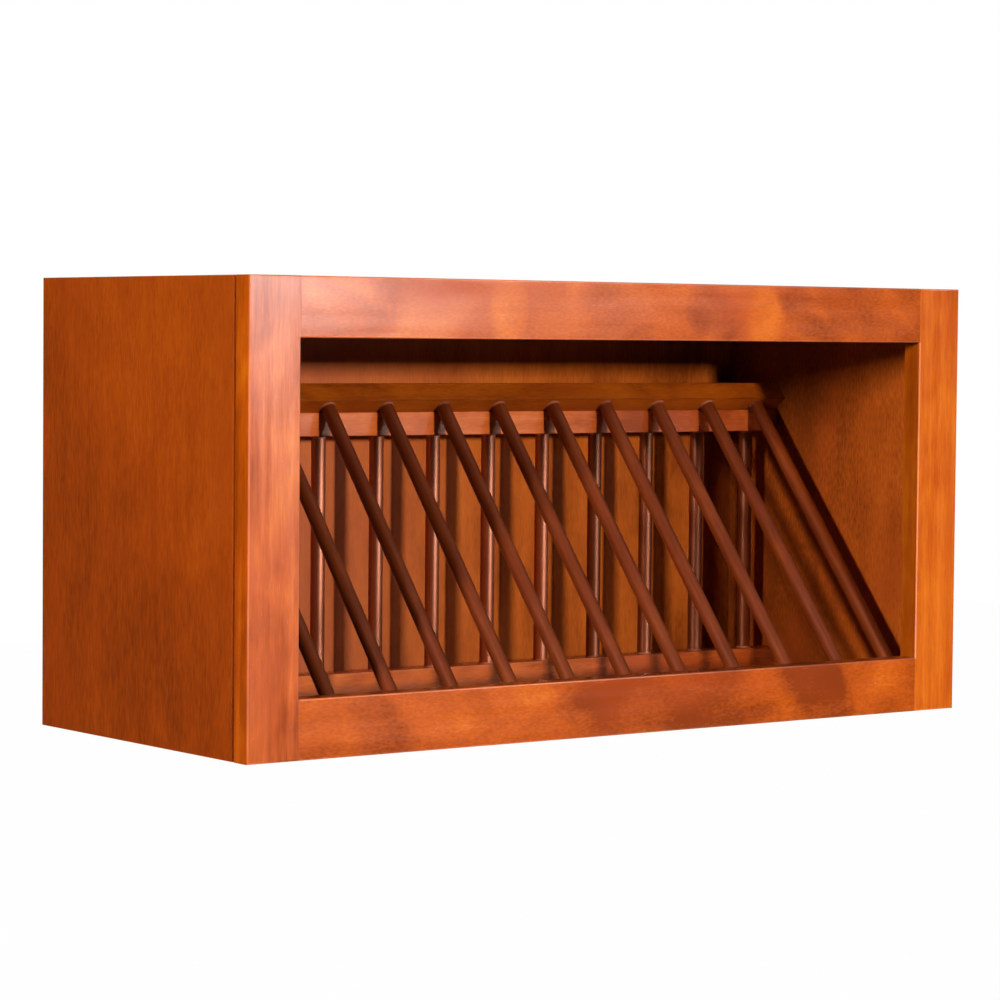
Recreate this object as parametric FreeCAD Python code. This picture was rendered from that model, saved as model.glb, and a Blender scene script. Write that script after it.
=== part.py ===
"""Wall dish cabinet: an open box behind a solid face frame, with two dowel racks that hold plates on edge.

Sizes are in millimetres. Seen from the front, +X runs to the right, +Y to the wall and +Z up. The origin
lies in the middle of the cabinet's footprint, level with its lower edge.
"""
import FreeCAD, Part
import math
import os

Vector = FreeCAD.Vector

# Overall sizes
CABINET_WIDTH = 762.0
CABINET_HEIGHT = 381.0
BOX_DEPTH = 304.8

# Face frame
FRAME_THICKNESS = 19.05
STILE_WIDTH = 48.0
TOP_RAIL_HEIGHT = 48.5
BOTTOM_RAIL_HEIGHT = 48.5
ARRIS_RADIUS = 1.2
FRAME_PIN_DIAMETER = 8.0
FRAME_PIN_LENGTH = 40.0
FRAME_PIN_SHARES = (0.25, 0.75)

# Panels of the box: two sides, two decks (top and bottom) and the back
SIDE_THICKNESS = 12.0
DECK_THICKNESS = 12.0
DECK_INSET = 6.0
BACK_THICKNESS = 6.0
HOUSING_DEPTH = 6.0
TONGUE_THICKNESS = 6.0
TONGUE_DEPTH = 6.0
TONGUE_INSET = 2.0
TONGUE_END_MARGIN = 6.0
SHADOW_GROOVE_WIDTH = 3.5
SHADOW_GROOVE_DEPTH = 3.0

# Hanging rails behind the back panel
HANGING_RAIL_HEIGHT = 64.0
HANGING_RAIL_THICKNESS = 18.0
STUD_SPACING = 406.4
WALL_HOLE_DIAMETER = 5.2
SCREWS_PER_RAIL = 4
SCREW_DIAMETER = 4.0
SCREW_HEAD_DIAMETER = 8.0
SCREW_HEAD_HEIGHT = 2.4
SCREW_LENGTH = 40.0
SCREW_END_MARGIN = 60.0

# Plate racks
DOWEL_COUNT = 12
DOWEL_DIAMETER = 12.7
DOWEL_SEAT_DEPTH = 10.0
RACK_HEADROOM = 95.8
REAR_RAIL_THICKNESS = 19.05
REAR_RAIL_HEIGHT = 20.6
REAR_GAP = 48.0
LEANING_RAIL_SIZE = 19.05
LEANING_RAIL_ROUNDING = 0.8
FOOT_SETBACK = 3.0
PLANED_CORNER = 1.0
RACK_PIN_DIAMETER = 8.0
RACK_PIN_IN_RAIL = 14.0
RACK_PIN_IN_SIDE = 7.0

# Clearances
PIN_CLEARANCE = 0.1
PIN_END_GAP = 0.5
DOWEL_PASSING_GAP = 0.5

# Planes of the box and the frame
DEPTH = BOX_DEPTH + FRAME_THICKNESS
FRONT_Y = -DEPTH / 2
WALL_Y = DEPTH / 2
FRAME_BACK_Y = FRONT_Y + FRAME_THICKNESS
BACK_REAR_Y = WALL_Y - HANGING_RAIL_THICKNESS
BACK_FRONT_Y = BACK_REAR_Y - BACK_THICKNESS
HALF_WIDTH = CABINET_WIDTH / 2
SIDE_INNER_X = HALF_WIDTH - SIDE_THICKNESS
HOUSING_X = SIDE_INNER_X + HOUSING_DEPTH
OPENING_X = HALF_WIDTH - STILE_WIDTH
OPENING_LOW_Z = BOTTOM_RAIL_HEIGHT
OPENING_HIGH_Z = CABINET_HEIGHT - TOP_RAIL_HEIGHT
BOX_LOW_Z = DECK_INSET
BOX_HIGH_Z = CABINET_HEIGHT - DECK_INSET
FLOOR_Z = BOX_LOW_Z + DECK_THICKNESS
CEILING_Z = BOX_HIGH_Z - DECK_THICKNESS

# Planes of the rear rack
REAR_BACK_Y = BACK_FRONT_Y - REAR_GAP
REAR_FRONT_Y = REAR_BACK_Y - REAR_RAIL_THICKNESS
REAR_AXIS_Y = (REAR_FRONT_Y + REAR_BACK_Y) / 2
REAR_TOP_Z = CEILING_Z - RACK_HEADROOM
REAR_SPAN_HIGH_Z = REAR_TOP_Z - REAR_RAIL_HEIGHT
REAR_SPAN_LOW_Z = FLOOR_Z + REAR_RAIL_HEIGHT

# The dowels share the width between the sides, with half a pitch left at each end
DOWEL_PITCH = 2 * SIDE_INNER_X / DOWEL_COUNT
DOWEL_XS = [-SIDE_INNER_X + DOWEL_PITCH * (index + 0.5) for index in range(DOWEL_COUNT)]


def block(x_limits, y_limits, z_limits):
    """Box between a low and a high limit on each axis."""
    low = Vector(x_limits[0], y_limits[0], z_limits[0])
    high = Vector(x_limits[1], y_limits[1], z_limits[1])
    size = high - low
    return Part.makeBox(size.x, size.y, size.z, low)


def rod(start, end, radius):
    """Round bar from one point to another."""
    return Part.makeCylinder(radius, (end - start).Length, start, end - start)


def mirrored(shape):
    """The same piece on the other side of the cabinet."""
    return shape.mirror(Vector(0, 0, 0), Vector(1, 0, 0))


def quarter_waste(corner, run, inward_a, inward_b):
    """What is sanded off a sharp arris to round it: a corner strip with a hollow quarter circle."""
    along_a = corner + inward_a * ARRIS_RADIUS
    along_b = corner + inward_b * ARRIS_RADIUS
    centre = along_a + inward_b * ARRIS_RADIUS
    middle = centre - (inward_a + inward_b) * (ARRIS_RADIUS / math.sqrt(2))
    edges = [
        Part.LineSegment(corner, along_a).toShape(),
        Part.Arc(along_a, middle, along_b).toShape(),
        Part.LineSegment(along_b, corner).toShape(),
    ]
    return Part.Face(Part.Wire(edges)).extrude(run)


def frame_arris_waste():
    """Waste strips along the outer rim of the face frame and along its opening."""
    back = Vector(0, 1, 0)
    rims = [
        (HALF_WIDTH, 0, CABINET_HEIGHT, 1),
        (OPENING_X, OPENING_LOW_Z, OPENING_HIGH_Z, -1),
    ]
    strips = []
    for half_x, low_z, high_z, into_rim in rims:
        upright = Vector(0, 0, high_z - low_z)
        level = Vector(2 * half_x, 0, 0)
        for side in (-1, 1):
            corner = Vector(side * half_x, FRONT_Y, low_z)
            strips.append(quarter_waste(corner, upright, Vector(-side * into_rim, 0, 0), back))
        for edge_z, up in ((low_z, 1), (high_z, -1)):
            corner = Vector(-half_x, FRONT_Y, edge_z)
            strips.append(quarter_waste(corner, level, Vector(0, 0, up * into_rim), back))
    return strips


def frame_pin_rods(extra_radius, extra_length):
    """Pins across the four corner joints of the face frame, or their holes when made larger."""
    radius = FRAME_PIN_DIAMETER / 2 + extra_radius
    reach = Vector(FRAME_PIN_LENGTH / 2 + extra_length, 0, 0)
    rails = [(0, BOTTOM_RAIL_HEIGHT), (OPENING_HIGH_Z, TOP_RAIL_HEIGHT)]
    rods = []
    for side in (-1, 1):
        for low_z, height in rails:
            for share in FRAME_PIN_SHARES:
                centre = Vector(side * OPENING_X, FRONT_Y + FRAME_THICKNESS / 2, low_z + share * height)
                rods.append(rod(centre - reach, centre + reach, radius))
    return rods


def side_tongue():
    """Tongue on the left side panel's front edge, which fits a groove in the back of the stile."""
    inner_x = -SIDE_INNER_X - TONGUE_INSET
    y_limits = (FRAME_BACK_Y - TONGUE_DEPTH, FRAME_BACK_Y)
    return block((inner_x - TONGUE_THICKNESS, inner_x), y_limits, (0, CABINET_HEIGHT))


def deck_tongue(deck_low_z):
    """Tongue on a deck's front edge, which fits a groove in the back of its rail between the pins."""
    half_x = OPENING_X - FRAME_PIN_LENGTH / 2 - TONGUE_END_MARGIN
    middle_z = deck_low_z + DECK_THICKNESS / 2
    z_limits = (middle_z - TONGUE_THICKNESS / 2, middle_z + TONGUE_THICKNESS / 2)
    return block((-half_x, half_x), (FRAME_BACK_Y - TONGUE_DEPTH, FRAME_BACK_Y), z_limits)


def make_face_frame():
    """Two full-height stiles with a rail between them at the top and at the bottom."""
    waste = frame_arris_waste()
    holes = frame_pin_rods(PIN_CLEARANCE, PIN_END_GAP)
    y_limits = (FRONT_Y, FRAME_BACK_Y)
    stile = block((-HALF_WIDTH, -OPENING_X), y_limits, (0, CABINET_HEIGHT))
    stile = stile.cut(waste + holes + [side_tongue()])
    bottom = block((-OPENING_X, OPENING_X), y_limits, (0, OPENING_LOW_Z))
    top = block((-OPENING_X, OPENING_X), y_limits, (OPENING_HIGH_Z, CABINET_HEIGHT))
    return {
        "left_stile": stile,
        "right_stile": mirrored(stile),
        "frame_bottom_rail": bottom.cut(waste + holes + [deck_tongue(BOX_LOW_Z)]),
        "frame_top_rail": top.cut(waste + holes + [deck_tongue(CEILING_Z)]),
        "frame_corner_pins": Part.makeCompound(frame_pin_rods(0, 0)),
    }


def rail_screws(extra_radius):
    """Countersunk screws through a hanging rail and the back into each deck, or their holes when made larger."""
    shank_radius = SCREW_DIAMETER / 2 + extra_radius
    head_radius = SCREW_HEAD_DIAMETER / 2 + extra_radius
    inward = Vector(0, -1, 0)
    last_x = SIDE_INNER_X - SCREW_END_MARGIN
    step = 2 * last_x / (SCREWS_PER_RAIL - 1)
    screws = []
    for deck_low_z in (BOX_LOW_Z, CEILING_Z):
        for index in range(SCREWS_PER_RAIL):
            start = Vector(-last_x + index * step, WALL_Y, deck_low_z + DECK_THICKNESS / 2)
            head = Part.makeCone(head_radius, shank_radius, SCREW_HEAD_HEIGHT, start, inward)
            shank = rod(start, start + inward * (SCREW_LENGTH + extra_radius), shank_radius)
            screws.append(head.fuse(shank).removeSplitter())
    return screws


def wall_holes():
    """Clearance holes for the two wall screws, through the upper hanging rail and the back panel."""
    height = BOX_HIGH_Z - HANGING_RAIL_HEIGHT / 2
    holes = []
    for side in (-1, 1):
        start = Vector(side * STUD_SPACING / 2, BACK_FRONT_Y, height)
        holes.append(rod(start, Vector(start.x, WALL_Y, height), WALL_HOLE_DIAMETER / 2))
    return holes


def make_box(rack_pin_holes):
    """Side panels, decks, back panel and hanging rails, housed in each other."""
    side = block((-HALF_WIDTH, -SIDE_INNER_X), (FRAME_BACK_Y, WALL_Y), (0, CABINET_HEIGHT)).fuse(side_tongue())
    groove_x = (-HALF_WIDTH, -HALF_WIDTH + SHADOW_GROOVE_DEPTH)
    groove_y = (FRAME_BACK_Y, FRAME_BACK_Y + SHADOW_GROOVE_WIDTH)
    shadow_groove = block(groove_x, groove_y, (0, CABINET_HEIGHT))
    housed_x = (-HOUSING_X, HOUSING_X)
    deck_y = (FRAME_BACK_Y, BACK_FRONT_Y)
    low_deck = block(housed_x, deck_y, (BOX_LOW_Z, FLOOR_Z))
    high_deck = block(housed_x, deck_y, (CEILING_Z, BOX_HIGH_Z))
    back = block(housed_x, (BACK_FRONT_Y, BACK_REAR_Y), (BOX_LOW_Z, BOX_HIGH_Z))
    side = side.cut([shadow_groove, low_deck, high_deck, back] + rack_pin_holes).removeSplitter()
    inner_x = (-SIDE_INNER_X, SIDE_INNER_X)
    rail_y = (BACK_REAR_Y, WALL_Y)
    low_rail = block(inner_x, rail_y, (BOX_LOW_Z, BOX_LOW_Z + HANGING_RAIL_HEIGHT))
    high_rail = block(inner_x, rail_y, (BOX_HIGH_Z - HANGING_RAIL_HEIGHT, BOX_HIGH_Z))
    screw_holes = rail_screws(PIN_CLEARANCE)
    return {
        "left_side_panel": side,
        "right_side_panel": mirrored(side),
        "bottom_panel": low_deck.fuse(deck_tongue(BOX_LOW_Z)).cut(screw_holes).removeSplitter(),
        "top_panel": high_deck.fuse(deck_tongue(CEILING_Z)).cut(screw_holes).removeSplitter(),
        "back_panel": back.cut(screw_holes + wall_holes()),
        "lower_hanging_rail": low_rail.cut(screw_holes),
        "upper_hanging_rail": high_rail.cut(screw_holes + wall_holes()),
        "hanging_rail_screws": Part.makeCompound(rail_screws(0)),
    }


class LeaningLine:
    """Centre line of the leaning dowels, in the plane across the cabinet.

    It starts at the floor just behind the face frame and passes the front top edge of the rear rack with
    a small gap.
    """

    def __init__(self):
        self.foot = Vector(0, FRAME_BACK_Y + FOOT_SETBACK, FLOOR_Z)
        edge = Vector(0, REAR_FRONT_Y, REAR_TOP_Z) - self.foot
        keep_off = DOWEL_DIAMETER / 2 + DOWEL_PASSING_GAP
        angle = math.atan2(edge.y, edge.z) - math.asin(keep_off / edge.Length)
        self.up = Vector(0, math.sin(angle), math.cos(angle))
        self.across = Vector(0, math.cos(angle), -math.sin(angle))

    def at_height(self, height):
        """Point of the line at a height above the cabinet's lower edge."""
        return self.foot + self.up * ((height - self.foot.z) / self.up.z)

    def head_seat(self):
        """Point where the dowels enter the head rail, whose lowest corner sits on the rear rack."""
        drop = LEANING_RAIL_SIZE / 2 * -self.across.z
        return self.at_height(REAR_TOP_Z - PLANED_CORNER + drop)

    def foot_seat(self):
        """Point where the dowels enter the foot rail, whose lowest corner sits on the floor."""
        drop = LEANING_RAIL_SIZE * self.up.z + LEANING_RAIL_SIZE / 2 * -self.across.z
        return self.at_height(FLOOR_Z - PLANED_CORNER + drop)


def leaning_rail(line, seat, direction):
    """Square rail between the sides, lying on one side of the point where the dowels enter it."""
    half = line.across * (LEANING_RAIL_SIZE / 2)
    depth = line.up * (LEANING_RAIL_SIZE * direction)
    start = seat - Vector(SIDE_INNER_X, 0, 0)
    corners = [start - half, start + half, start + half + depth, start - half + depth]
    section = Part.Face(Part.makePolygon(corners + corners[:1]))
    rail = section.extrude(Vector(2 * SIDE_INNER_X, 0, 0))
    long_edges = [edge for edge in rail.Edges if edge.Length > SIDE_INNER_X]
    return rail.makeFillet(LEANING_RAIL_ROUNDING, long_edges)


def dowels_between(low, high, along, extra_radius, extra_length):
    """A row of dowels seated in two rails, or their holes when made larger."""
    radius = DOWEL_DIAMETER / 2 + extra_radius
    seat = along * (DOWEL_SEAT_DEPTH + extra_length)
    rods = []
    for x in DOWEL_XS:
        shift = Vector(x, 0, 0)
        rods.append(rod(low - seat + shift, high + seat + shift, radius))
    return rods


def rack_pin_rods(centres, extra_radius, extra_length):
    """Pins that hold the ends of the rack rails in both sides, or their holes when made larger."""
    radius = RACK_PIN_DIAMETER / 2 + extra_radius
    rods = []
    for centre in centres:
        for side in (-1, 1):
            inner = Vector(side * (SIDE_INNER_X - RACK_PIN_IN_RAIL - extra_length), centre.y, centre.z)
            outer = Vector(side * (SIDE_INNER_X + RACK_PIN_IN_SIDE + extra_length), centre.y, centre.z)
            rods.append(rod(inner, outer, radius))
    return rods


def numbered(name, shapes):
    """Separate nodes for a row of like pieces, counted from the left."""
    return {f"{name}_{index:02d}": shape for index, shape in enumerate(shapes, start=1)}


def make_racks(line, pin_holes):
    """The leaning rack and the upright rack behind it, each two rails with a row of dowels."""
    foot_seat = line.foot_seat()
    head_seat = line.head_seat()
    rear_low = Vector(0, REAR_AXIS_Y, REAR_SPAN_LOW_Z)
    rear_high = Vector(0, REAR_AXIS_Y, REAR_SPAN_HIGH_Z)
    up = Vector(0, 0, 1)
    leaning_holes = dowels_between(foot_seat, head_seat, line.up, PIN_CLEARANCE, PIN_END_GAP)
    rear_holes = dowels_between(rear_low, rear_high, up, PIN_CLEARANCE, PIN_END_GAP)
    inner_x = (-SIDE_INNER_X, SIDE_INNER_X)
    rear_y = (REAR_FRONT_Y, REAR_BACK_Y)
    rear_bottom = block(inner_x, rear_y, (FLOOR_Z, REAR_SPAN_LOW_Z))
    rear_top = block(inner_x, rear_y, (REAR_SPAN_HIGH_Z, REAR_TOP_Z))
    floor = block(inner_x, (FRAME_BACK_Y, REAR_FRONT_Y), (BOX_LOW_Z, FLOOR_Z))
    frame_rail = block(inner_x, (FRONT_Y, FRAME_BACK_Y), (0, OPENING_LOW_Z))
    head_rail = leaning_rail(line, head_seat, 1).cut([rear_top] + leaning_holes + pin_holes)
    foot_rail = leaning_rail(line, foot_seat, -1).cut([floor, frame_rail] + leaning_holes + pin_holes)
    pieces = {
        "leaning_rack_head_rail": head_rail,
        "leaning_rack_foot_rail": foot_rail,
        "rear_rack_top_rail": rear_top.cut(rear_holes + pin_holes),
        "rear_rack_bottom_rail": rear_bottom.cut(rear_holes + pin_holes),
    }
    pieces.update(numbered("leaning_dowel", dowels_between(foot_seat, head_seat, line.up, 0, 0)))
    pieces.update(numbered("rear_dowel", dowels_between(rear_low, rear_high, up, 0, 0)))
    return pieces


def rack_pin_centres(line):
    """Middle of each rack rail's section, where its end pins sit."""
    half = line.up * (LEANING_RAIL_SIZE / 2)
    rail_half = REAR_RAIL_HEIGHT / 2
    return [
        line.head_seat() + half,
        line.foot_seat() - half,
        Vector(0, REAR_AXIS_Y, REAR_TOP_Z - rail_half),
        Vector(0, REAR_AXIS_Y, FLOOR_Z + rail_half),
    ]


def main():
    """Build every piece and write each one to its own file."""
    line = LeaningLine()
    centres = rack_pin_centres(line)
    pin_holes = rack_pin_rods(centres, PIN_CLEARANCE, PIN_END_GAP)
    pieces = make_face_frame()
    pieces.update(make_box(pin_holes))
    pieces.update(make_racks(line, pin_holes))
    pieces["rack_rail_pins"] = Part.makeCompound(rack_pin_rods(centres, 0, 0))
    os.makedirs("parts", exist_ok=True)
    for name, shape in pieces.items():
        shape.exportStep(os.path.join("parts", f"{name}.step"))
        print(f"{name}: {len(shape.Solids)} solid(s), {shape.Volume / 1000:.1f} cm3, valid {shape.isValid()}")


if __name__ == "__main__":
    main()
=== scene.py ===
"""Looks of the wall dish cabinet: stained and lacquered wood, two dowel racks and a plain white studio.

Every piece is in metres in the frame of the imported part: +X to the right, +Y to the wall, +Z up.
"""

import logging
import math
from dataclasses import dataclass, field, replace
from enum import Enum
from typing import Callable, Iterable, Optional, Sequence, Union

import bmesh
import bpy
from mathutils import Matrix, Vector


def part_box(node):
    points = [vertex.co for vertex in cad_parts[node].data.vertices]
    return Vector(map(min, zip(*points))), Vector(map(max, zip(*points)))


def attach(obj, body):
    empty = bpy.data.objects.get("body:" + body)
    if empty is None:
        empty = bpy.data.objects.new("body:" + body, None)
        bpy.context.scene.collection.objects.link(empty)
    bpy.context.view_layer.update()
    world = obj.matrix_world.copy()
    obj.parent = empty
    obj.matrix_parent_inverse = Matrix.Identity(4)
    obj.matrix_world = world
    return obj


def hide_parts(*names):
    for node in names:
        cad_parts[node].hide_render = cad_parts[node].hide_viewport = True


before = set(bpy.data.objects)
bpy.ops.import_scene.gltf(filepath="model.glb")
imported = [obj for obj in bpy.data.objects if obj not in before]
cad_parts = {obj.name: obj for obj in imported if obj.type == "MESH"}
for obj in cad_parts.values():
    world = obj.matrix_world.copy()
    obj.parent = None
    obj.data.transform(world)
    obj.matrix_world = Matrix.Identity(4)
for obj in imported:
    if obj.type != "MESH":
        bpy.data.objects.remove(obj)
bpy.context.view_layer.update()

LOG = logging.getLogger("dish_cabinet")
MM = 0.001
BODY = "root"
# How near two places are to count as one, and how near a direction is to an axis to count as along it.
SAME_PLACE = 0.02 * MM
PARALLEL = 0.999
FACING = 0.9

Color = tuple[float, float, float, float]
Number = Union["Val", float, int]
SocketKey = Union[str, int]


def tone(red: int, green: int, blue: int) -> Color:
    """Turn a display colour into the linear colour that shaders use.

    Args:
        red: Red from 0 to 255.
        green: Green from 0 to 255.
        blue: Blue from 0 to 255.

    Returns:
        The linear colour with full opacity.
    """
    parts = []
    for value in (red, green, blue):
        share = value / 255.0
        parts.append(share / 12.92 if share <= 0.04045 else ((share + 0.055) / 1.055) ** 2.4)
    return (parts[0], parts[1], parts[2], 1.0)


class Grain(Enum):
    """Which way the wood's fibres run in a piece."""

    LEVEL = "level"
    UPRIGHT = "upright"
    LEANING = "leaning"

    def turn(self, lean: float) -> tuple[float, float, float]:
        """Rotation that lays the fibres along the pattern's first axis.

        Args:
            lean: Angle of a leaning piece from upright, in radians.

        Returns:
            Euler angles for a Mapping node.
        """
        if self is Grain.LEVEL:
            return (0.0, 0.0, 0.0)
        if self is Grain.UPRIGHT:
            return (0.0, math.pi / 2, 0.0)
        return (lean, math.pi / 2, 0.0)


class Axis(Enum):
    """Index of a frame axis."""

    X = 0
    Y = 1
    Z = 2


class Val:
    """A shader value that adds Math nodes when it is used in an expression."""

    def __init__(self, graph: "Graph", socket: bpy.types.NodeSocket) -> None:
        """Wrap an output socket of a node tree."""
        self.graph = graph
        self.socket = socket

    def __add__(self, other: Number) -> "Val":
        """Sum."""
        return self.graph.math("ADD", self, other)

    def __radd__(self, other: Number) -> "Val":
        """Sum with a number on the left."""
        return self.graph.math("ADD", other, self)

    def __sub__(self, other: Number) -> "Val":
        """Difference."""
        return self.graph.math("SUBTRACT", self, other)

    def __rsub__(self, other: Number) -> "Val":
        """Difference with a number on the left."""
        return self.graph.math("SUBTRACT", other, self)

    def __mul__(self, other: Number) -> "Val":
        """Product."""
        return self.graph.math("MULTIPLY", self, other)

    def __rmul__(self, other: Number) -> "Val":
        """Product with a number on the left."""
        return self.graph.math("MULTIPLY", other, self)

    def between(self, low: float, high: float) -> "Val":
        """Smooth step from 0 at the low value to 1 at the high one.

        Args:
            low: Where the step starts.
            high: Where the step ends.

        Returns:
            A value from 0 to 1.
        """
        made = self.graph.node(
            "ShaderNodeMapRange",
            {"interpolation_type": "SMOOTHSTEP", "clamp": True},
            {"Value": self, "From Min": low, "From Max": high},
        )
        return Val(self.graph, made.outputs[0])

    def top(self, other: Number) -> "Val":
        """The larger of two values."""
        return self.graph.math("MAXIMUM", self, other)

    def clamped(self) -> "Val":
        """The value held between 0 and 1."""
        return self.graph.math("MINIMUM", self.graph.math("MAXIMUM", self, 0.0), 1.0)

    def size(self) -> "Val":
        """The value without its sign."""
        return self.graph.math("ABSOLUTE", self)


Link = Union[Val, bpy.types.NodeSocket, float, int, Sequence[float]]


class Graph:
    """A node tree that is filled from expressions."""

    def __init__(self, tree: bpy.types.NodeTree) -> None:
        """Start from an emptied tree."""
        self.tree = tree
        self.tree.nodes.clear()

    def node(
        self,
        kind: str,
        settings: Optional[dict[str, object]] = None,
        inputs: Optional[dict[SocketKey, Link]] = None,
    ) -> bpy.types.Node:
        """Add a node, set its options first and then its sockets.

        Args:
            kind: The node's type name.
            settings: Option names and values. The option "stops" holds a ramp's positions and colours.
            inputs: Socket names or numbers, each with a value, a Val or an output socket to link.

        Returns:
            The new node.
        """
        made = self.tree.nodes.new(kind)
        for key, value in (settings or {}).items():
            if key == "stops":
                self._set_stops(made, value)
            else:
                setattr(made, key, value)
        for key, value in (inputs or {}).items():
            source = value.socket if isinstance(value, Val) else value
            if isinstance(source, bpy.types.NodeSocket):
                self.tree.links.new(source, made.inputs[key])
            else:
                made.inputs[key].default_value = source
        return made

    def math(self, operation: str, *inputs: Number) -> Val:
        """Add one Math node with its inputs in order, and give its result."""
        return Val(self, self.node("ShaderNodeMath", {"operation": operation}, dict(enumerate(inputs))).outputs[0])

    @staticmethod
    def _set_stops(ramp_node: bpy.types.Node, stops: Sequence[tuple[float, Color]]) -> None:
        """Give a ramp its stops.

        Args:
            ramp_node: The ColorRamp node.
            stops: Position and colour of each stop, in order.
        """
        elements = ramp_node.color_ramp.elements
        while len(elements) < len(stops):
            elements.new(1.0)
        for element, (position, color) in zip(elements, stops):
            element.position = position
            element.color = color

    def coords(self) -> bpy.types.NodeSocket:
        """Object coordinates, which are the part's own frame."""
        return self.node("ShaderNodeTexCoord").outputs["Object"]

    def placed(self, turn: Sequence[float], shift: Sequence[float]) -> bpy.types.NodeSocket:
        """Object coordinates turned to lay the fibres along the first axis, and shifted so that pieces differ."""
        inputs = {"Vector": self.coords(), "Location": tuple(shift), "Rotation": tuple(turn)}
        return self.node("ShaderNodeMapping", {"vector_type": "POINT"}, inputs).outputs[0]

    def axis(self, vector: bpy.types.NodeSocket, which: Axis) -> Val:
        """One component of a vector."""
        return Val(self, self.node("ShaderNodeSeparateXYZ", None, {0: vector}).outputs[which.value])

    def noise(self, vector: bpy.types.NodeSocket, cell: Sequence[float], detail: float = 2.0, warp: float = 0.0) -> Val:
        """Soft noise whose cells are stretched along the fibres.

        Args:
            vector: Pattern coordinates in metres.
            cell: Size of a cell along each axis, in metres.
            detail: How many finer layers are added.
            warp: How much the noise bends itself.

        Returns:
            A value around one half.
        """
        stretch = tuple(1.0 / size for size in cell)
        scaled = self.node("ShaderNodeVectorMath", {"operation": "MULTIPLY"}, {0: vector, 1: stretch})
        inputs = {"Vector": scaled.outputs[0], "Scale": 1.0, "Detail": detail, "Distortion": warp}
        return Val(self, self.node("ShaderNodeTexNoise", {"noise_dimensions": "3D"}, inputs).outputs[0])

    def ramp(self, value: Val, stops: Sequence[tuple[float, Color]]) -> bpy.types.NodeSocket:
        """Colour picked along a ramp."""
        return self.node("ShaderNodeValToRGB", {"stops": stops}, {0: value}).outputs[0]

    def blend(self, share: Number, first: Link, second: Link) -> bpy.types.NodeSocket:
        """Lay a share of the second colour over the first."""
        settings = {"data_type": "RGBA", "blend_type": "MIX", "clamp_factor": True}
        return self.node("ShaderNodeMix", settings, {0: share, 6: first, 7: second}).outputs[2]

    def face_mark(self, name: str) -> Val:
        """A number that the piece's faces carry."""
        return Val(self, self.node("ShaderNodeAttribute", {"attribute_name": name}).outputs["Fac"])

    def output(self, kind: str, shader: bpy.types.NodeSocket) -> None:
        """Link a shader to the tree's output."""
        self.node(kind, None, {"Surface": shader})

    def surface(self, strength: float, distance: float, height: Val, inputs: dict[SocketKey, Link]) -> None:
        """End a finish with a surface shader over a relief.

        Args:
            strength: How much of the relief shows.
            distance: Depth of the relief, in metres.
            height: Height over the surface.
            inputs: The shader's other sockets.
        """
        bump = self.node("ShaderNodeBump", None, {"Strength": strength, "Distance": distance, "Height": height})
        shader = self.node("ShaderNodeBsdfPrincipled", None, {**inputs, "Normal": bump.outputs[0]})
        self.output("ShaderNodeOutputMaterial", shader.outputs[0])


def new_material(name: str) -> tuple[bpy.types.Material, Graph]:
    """Start a node material.

    Args:
        name: The finish's name.

    Returns:
        The material and the graph that fills it.
    """
    made = bpy.data.materials.new(name)
    made.use_nodes = True
    return made, Graph(made.node_tree)


# Where a tone patch starts to fade and ends, as squared shares of its reach.
TONE_PATCH_RIM = (0.15, 1.1)
# Cells of the wood's patterns along and across the fibres, in metres.
CLOUD_CELL = (0.085, 0.05, 0.05)
PATCH_CELL = (0.28, 0.12, 0.12)
STREAK_CELL = (0.22, 0.009, 0.009)
FIBRE_WIDTH = 0.0018
PORE_CELL = (0.007, 0.00055, 0.00055)
BLUSH_CELL = (0.16, 0.075, 0.075)
RUB_CELL = (0.05, 0.05, 0.05)
PEEL_CELL = (0.0042, 0.0042, 0.0042)
RIPPLE_CELL = (0.09, 0.05, 0.05)
# Pitch of the curly figure along and across the fibres, how far it wanders, and depth of the wood's relief.
RIPPLE_ALONG, RIPPLE_ACROSS, RIPPLE_WANDER = 105.0, 90.0, 16.0
WOOD_RELIEF = 0.25 * MM
# How far each pattern moves the tone, before a finish's own strengths.
CLOUD_TONE, STREAK_TONE, FLECK_TONE, FIGURE_TONE = 1.5, 1.1, 0.9, 0.42
BLUSH_TONE, PORE_TONE = 0.75, 0.55
# How far each one stands up or sinks, as shares of the relief.
FIBRE_RISE, STREAK_RISE, PEEL_RISE, PORE_DROP = 0.45, 0.35, 0.5, 0.8
# How much duller each one makes the lacquer.
STREAK_DULL, CLOUD_DULL, PORE_DULL, ARRIS_DULL = 0.12, 0.08, 0.12, 0.36


@dataclass(frozen=True)
class TonePatch:
    """A place where the tone is darker or paler, slanting across the fibres: blotchy stain on the face frame, painted
    light and shade on the sides and the rear rack.
    """

    centre: tuple[float, float, float]
    reach: tuple[float, float, float]
    amount: float
    slant: tuple[float, float, float] = (0.0, 0.0, 0.0)
    fray: float = 1.6

    def shade(self, g: Graph, wander: Val) -> Val:
        """Add the blotch to a graph.

        Args:
            g: The graph to add to.
            wander: Noise that frays the blotch's rim.

        Returns:
            How much the tone changes.
        """
        inputs = {"Vector": g.coords(), "Location": self.centre, "Rotation": self.slant, "Scale": self.reach}
        place = g.node("ShaderNodeMapping", {"vector_type": "TEXTURE"}, inputs).outputs[0]
        square = g.node("ShaderNodeVectorMath", {"operation": "DOT_PRODUCT"}, {0: place, 1: place})
        away = Val(g, square.outputs["Value"]) + (wander - 0.5) * self.fray
        return (1.0 - away.between(*TONE_PATCH_RIM)) * self.amount


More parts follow.
